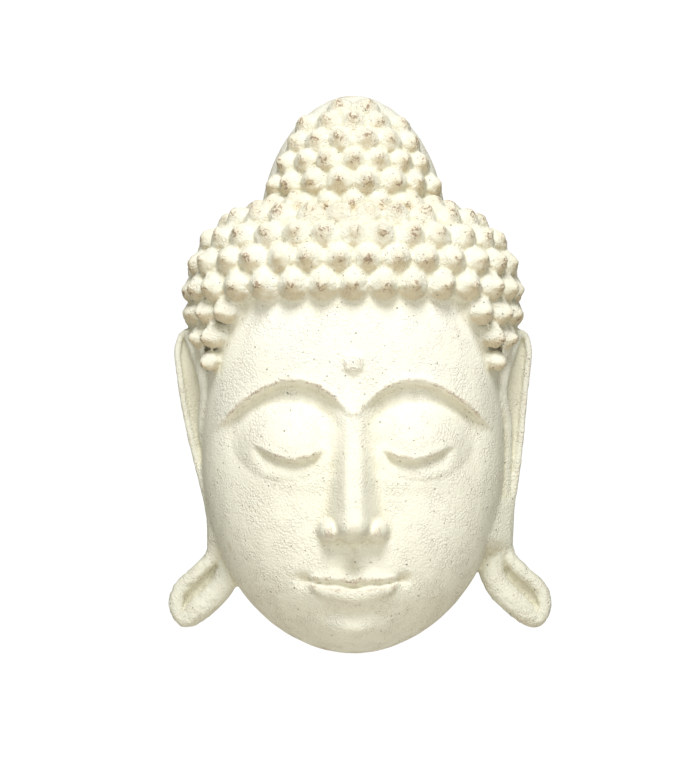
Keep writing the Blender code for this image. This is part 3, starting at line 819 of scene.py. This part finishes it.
def mark_wear_and_shade(obj, tips):
    """Notes on the surface for wear and for painted shade: where it stands proud or sinks in, where it faces down,
    where a curl ends, and what was never painted.
    """
    points, normals = vertices_of(obj), normals_of(obj)
    edges = np.empty(len(obj.data.edges) * 2, np.int32)
    obj.data.edges.foreach_get("vertices", edges)
    edges = edges.reshape(-1, 2)
    counts = np.maximum(np.bincount(edges.ravel(), minlength=len(points)), 1)
    near = smoothed(points, edges, counts, NEAR_ROUNDS)
    wide = smoothed(near, edges, counts, WIDE_ROUNDS)
    fine = ((points - near) * normals).sum(1)
    broad = ((points - wide) * normals).sum(1)
    store(obj, "edge", np.clip(fine / NEAR_STEP, -1, 1))
    # proud: how far the surface swells or sinks against its wide smoothing; where it sinks the material paints shade
    store(obj, "proud", np.clip(broad / WIDE_STEP, -1, 1))
    away = from_tips(points, tips)
    store(obj, "tip", np.exp(-((away / TIP_REACH) ** 2)))
    store(obj, "hair", 1 - ease((away - 0.012) / 0.005))
    # under: how far the surface faces down; the material paints shade under overhangs with it
    store(obj, "under", np.clip(-normals[:, 2], 0, 1))
    lift = MASK_HEIGHT - ORIGIN_DROP
    behind = points[:, 1] > -0.0008
    for height, reach, plan, profile in hollows():
        ring = np.abs(points[:, 0] / reach[0]) ** plan + np.abs(points[:, 1] / reach[1]) ** plan
        size = ring ** (profile / plan) + np.abs((points[:, 2] + lift - height) / reach[2]) ** profile
        behind |= size < 1.05
    store(obj, "behind", behind)


class Recipe:
    """A material's nodes, added one after another."""

    def __init__(self, name):
        self.material = bpy.data.materials.new(name)
        self.material.use_nodes = True
        self.nodes = self.material.node_tree.nodes
        self.links = self.material.node_tree.links
        self.shader = self.nodes["Principled BSDF"]
        self.place = self.add("ShaderNodeTexCoord").outputs["Object"]

    def add(self, kind, inputs=None, **settings):
        node = self.nodes.new(kind)
        for name, value in settings.items():
            setattr(node, name, value)
        for name, value in (inputs or {}).items():
            self.feed(node.inputs[name], value)
        return node

    def feed(self, socket, value):
        if isinstance(value, bpy.types.NodeSocket):
            self.links.new(value, socket)
        else:
            socket.default_value = value

    def cloud(self, scale, detail=3.0, roughness=0.55, distortion=0.0):
        """Soft noise from 0 to 1."""
        return self.add("ShaderNodeTexNoise", {
            "Vector": self.place, "Scale": scale, "Detail": detail, "Roughness": roughness, "Distortion": distortion,
        }).outputs["Fac"]

    def dots(self, scale, randomness=1.0):
        """Distance to the nearest of many scattered points."""
        return self.add("ShaderNodeTexVoronoi", {
            "Vector": self.place, "Scale": scale, "Randomness": randomness,
        }).outputs["Distance"]

    def mark(self, name):
        return self.add("ShaderNodeAttribute", attribute_name=name).outputs["Fac"]

    def between(self, value, low, high, out_low=0.0, out_high=1.0):
        """The value stretched so that low becomes out_low and high out_high, softly, and held there beyond."""
        return self.add("ShaderNodeMapRange", {
            "Value": value, "From Min": low, "From Max": high, "To Min": out_low, "To Max": out_high,
        }, interpolation_type="SMOOTHSTEP").outputs["Result"]

    def sum(self, operation, a, b=0.0, c=0.0, hold=False):
        node = self.add("ShaderNodeMath", operation=operation, use_clamp=hold)
        for socket, value in zip(node.inputs, (a, b, c)):
            self.feed(socket, value)
        return node.outputs["Value"]

    def mix(self, share, under, over):
        node = self.add("ShaderNodeMix", data_type="RGBA")
        self.feed(node.inputs[0], share)
        self.feed(node.inputs[6], under)
        self.feed(node.inputs[7], over)
        return node.outputs[2]

    def bump(self, height, distance, strength=1.0, under=None):
        node = self.add("ShaderNodeBump", {"Height": height, "Distance": distance, "Strength": strength})
        if under is not None:
            self.links.new(under, node.inputs["Normal"])
        return node.outputs["Normal"]


def whitewash():
    """Chalky white over a brown ground: rubbed through in crumbs along edges and on the tips of the curls; with
    painted light as well: whiter up top, and painted shade in hollows, under overhangs, towards the wall and on the
    hair and ears.
    """
    r = Recipe("whitewash_over_brown")
    cream, chalk = (0.88, 0.875, 0.765, 1), (0.94, 0.94, 0.87, 1)
    umber, rust, blush = (0.17, 0.10, 0.06, 1), (0.35, 0.24, 0.16, 1), (0.63, 0.52, 0.41, 1)
    # olive is painted shade in hollows; tan is worn tips and painted shade on downward faces; grey is for specks
    shade_olive, grey, tan = (0.58, 0.53, 0.34, 1), (0.30, 0.30, 0.27, 1), (0.60, 0.48, 0.29, 1)
    # Grey-green used for painted shade: towards the wall, and on the hair and the ears
    painted_shade_grey = (0.56, 0.57, 0.48, 1)
    edge, proud, tip = r.mark("edge"), r.mark("proud"), r.mark("tip")
    drift = r.cloud(16, 2)
    patches = r.cloud(75, 4, 0.6)
    grain = r.cloud(640, 2, 0.6)
    crumbs = r.cloud(900, 2, 0.7)
    grit = r.between(r.sum("ADD", r.dots(640), r.sum("MULTIPLY", grain, 0.8)), 0.6, 1.3, 1, 0)
    across, depth, height = r.add("ShaderNodeSeparateXYZ", {"Vector": r.place}).outputs
    # Painted light: the upper face, the forehead most, is painted whiter as if lit from above; the hair takes less of
    # it, and fewer pores show there
    high = r.sum("MULTIPLY", r.between(height, -0.26, -0.10), r.between(r.mark("hair"), 0, 1, 1, 0.4))
    white = r.sum("ADD", r.sum("MULTIPLY", drift, 0.5), r.sum("MULTIPLY", patches, 0.22))
    colour = r.mix(r.between(r.sum("ADD", white, r.sum("MULTIPLY", high, 0.26)), 0.30, 0.66), cream, chalk)
    # Painted shade: the sides darken to grey-green towards the wall
    colour = r.mix(r.between(depth, -0.045, -0.01, 0, 0.3), colour, painted_shade_grey)
    sandy = r.between(patches, 0.4, 0.62)
    pores = r.sum("MULTIPLY", r.sum("SUBTRACT", 1, grit), r.between(high, 0, 1, 0.22, 0.10))
    pores = r.sum("MULTIPLY", pores, r.between(sandy, 0, 1, 0.6, 1))
    colour = r.mix(pores, colour, blush)
    # The hair and the outer sides of the ears are dulled to grey-green: partly a duller tone of their own, partly
    # painted shade
    painted_shade_beside = r.sum("MAXIMUM", r.mark("hair"), r.between(r.sum("ABSOLUTE", across), 0.085, 0.092))
    colour = r.mix(r.sum("MULTIPLY", painted_shade_beside, 0.2), colour, painted_shade_grey)
    # Painted shade: hollows and creases turn olive, the more the deeper they sink
    painted_hollow_shade = r.between(proud, -0.1, -0.8)
    colour = r.mix(r.sum("MULTIPLY", painted_hollow_shade, 0.28), colour, shade_olive)
    ragged = r.sum("ADD", r.sum("MULTIPLY", crumbs, 0.55), r.sum("MULTIPLY", patches, 0.45))
    # Painted shade: faces that turn downwards take a ragged tan, most on the hair
    lower = r.sum("MULTIPLY", r.between(r.mark("under"), 0.1, 0.7), r.between(ragged, 0.35, 0.6, 0.6, 1))
    colour = r.mix(r.sum("MULTIPLY", lower, r.between(r.mark("hair"), 0, 1, 0.3, 0.75)), colour, tan)
    aside = r.sum("ABSOLUTE", across)
    calm = r.sum("MULTIPLY", r.between(edge, 0.35, 1), r.between(r.mark("hair"), 0.0, 1.0, 0.38, 0.1))
    calm = r.sum("MULTIPLY", calm, r.between(aside, 0.085, 0.09, 1, 0.55))
    scratch = r.between(r.cloud(250, 3, 0.6, 1.2), 0.48, 0.62)
    colour = r.mix(r.sum("MULTIPLY", r.sum("MULTIPLY", tip, ragged), 0.8), colour, tan)
    rub = r.sum("ADD", calm, r.sum("MULTIPLY", r.sum("MULTIPLY", tip, scratch), 0.66))
    wear = r.sum("ADD", rub, ragged)
    colour = r.mix(r.between(wear, 0.66, 0.95, 0, 0.55), colour, blush)
    brown = r.mix(r.between(grain, 0.4, 0.62), umber, rust)
    colour = r.mix(r.between(wear, 0.86, 1.02, 0, 0.68), colour, brown)
    speck = r.between(r.dots(115), 0.085, 0.05)
    colour = r.mix(r.sum("MULTIPLY", speck, 0.8), colour, grey)
    pits = r.sum("MULTIPLY", r.between(r.dots(230), 0.15, 0.06), r.between(sandy, 0, 1, 0.3, 1))
    colour = r.mix(r.sum("MULTIPLY", pits, 0.4), colour, rust)
    bare = r.mix(r.between(patches, 0.35, 0.7), (0.40, 0.31, 0.22, 1), (0.60, 0.52, 0.41, 1))
    colour = r.mix(r.mark("behind"), colour, bare)
    r.links.new(colour, r.shader.inputs["Base Color"])
    r.links.new(r.between(grain, 0.3, 0.7, 0.8, 0.95), r.shader.inputs["Roughness"])
    r.shader.inputs["Specular IOR Level"].default_value = 0.25
    sand = r.sum("SUBTRACT", r.sum("ADD", grit, r.sum("MULTIPLY", crumbs, 0.5)), 0.75)
    sand = r.sum("MULTIPLY", sand, r.between(sandy, 0, 1, 0.45, 1))
    skin = r.bump(sand, 0.00042, 1.0)
    skin = r.bump(r.sum("MAXIMUM", pits, speck), -0.0009, 0.8, skin)
    r.links.new(skin, r.shader.inputs["Normal"])
    return r.material


def plain_paint(name, colour):
    r = Recipe(name)
    shade = r.mix(r.cloud(3, 2), [0.97 * c for c in colour[:3]] + [1], colour)
    r.links.new(shade, r.shader.inputs["Base Color"])
    r.shader.inputs["Roughness"].default_value = 0.9
    return r.material


def mask():
    to_origin = Matrix.Translation((0, 0, ORIGIN_DROP - MASK_HEIGHT))
    seats = [curl_frame(number, *place) for number, place in enumerate(curl_places())]
    tips = [seat @ Vector((0, 0, 0.9 * CURL_HEIGHT)) - Vector((0, 0, 0.0028)) for seat in seats]
    piece = joined("whitewashed_mask", [head(), hair_cap(), crown(), *curls(seats), *ear(-1), *ear(1)])
    fuse(piece)
    soften_necks(piece)
    keep_front(piece)
    thin_out(piece, TRIANGLES)
    roughen(piece, tips)
    open_back(piece)
    piece.data.transform(to_origin)
    hold_within(piece, *cad_box)
    mark_wear_and_shade(piece, [to_origin @ tip for tip in tips])
    piece.data.materials.clear()
    piece.data.materials.append(whitewash())
    piece.data.shade_smooth()
    return piece


def studio():
    """A pale floor well below the mask, a large soft light above in front, and white all round."""
    bpy.ops.object.select_all(action="DESELECT")
    bpy.ops.mesh.primitive_plane_add(size=2.4, location=(0, -0.1, -0.75))
    floor = bpy.context.object
    floor.name = "floor"
    bpy.ops.object.transform_apply(location=True, rotation=False, scale=False)
    floor.data.materials.append(plain_paint("pale_floor", (0.86, 0.86, 0.85, 1)))
    for name, place, size, watts, colour in (
        ("key", (0.0, -1.14, 1.22), 0.7, 29.6, (1.0, 0.995, 0.985)),
        ("fill", (0.05, -1.7, -0.62), 1.4, 13.6, (1.0, 0.975, 0.9)),
    ):
        light = bpy.data.lights.new(name, "AREA")
        light.size = size
        light.energy = watts
        light.color = colour
        lamp = bpy.data.objects.new(name, light)
        bpy.context.scene.collection.objects.link(lamp)
        lamp.location = place
        lamp.rotation_euler = (Vector((0, 0, -0.17)) - Vector(place)).to_track_quat("-Z", "Y").to_euler()
    world = bpy.data.worlds.new("white_room")
    bpy.context.scene.world = world
    world.use_nodes = True
    nodes, links = world.node_tree.nodes, world.node_tree.links
    backdrop = nodes["Background"]
    seen = nodes.new("ShaderNodeLightPath")
    tone = nodes.new("ShaderNodeMix")
    tone.data_type = "RGBA"
    tone.inputs[6].default_value = (0.28, 0.268, 0.21, 1)
    tone.inputs[7].default_value = (1.05, 1.05, 1.05, 1)
    links.new(seen.outputs["Is Camera Ray"], tone.inputs[0])
    links.new(tone.outputs[2], backdrop.inputs["Color"])


def camera():
    """Straight in front of the mask, level with its middle, through a long lens."""
    data = bpy.data.cameras.new("camera")
    data.lens = 85
    obj = bpy.data.objects.new("camera", data)
    bpy.context.scene.collection.objects.link(obj)
    obj.location = (FRAME_MIDDLE[0], -0.02 - 0.5 * FRAME_HEIGHT * data.lens / 18, FRAME_MIDDLE[1])
    obj.rotation_euler = (math.pi / 2, 0, 0)
    bpy.context.scene.camera = obj


# The camera's frame at the mask, in metres: its height, and its middle across and up from the origin
FRAME_HEIGHT = 0.5555
FRAME_MIDDLE = (-0.0023, -0.1834)

piece = mask()
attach(piece, "root")
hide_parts("buddha_mask")
studio()
camera()
bpy.context.scene.view_settings.view_transform = "Standard"
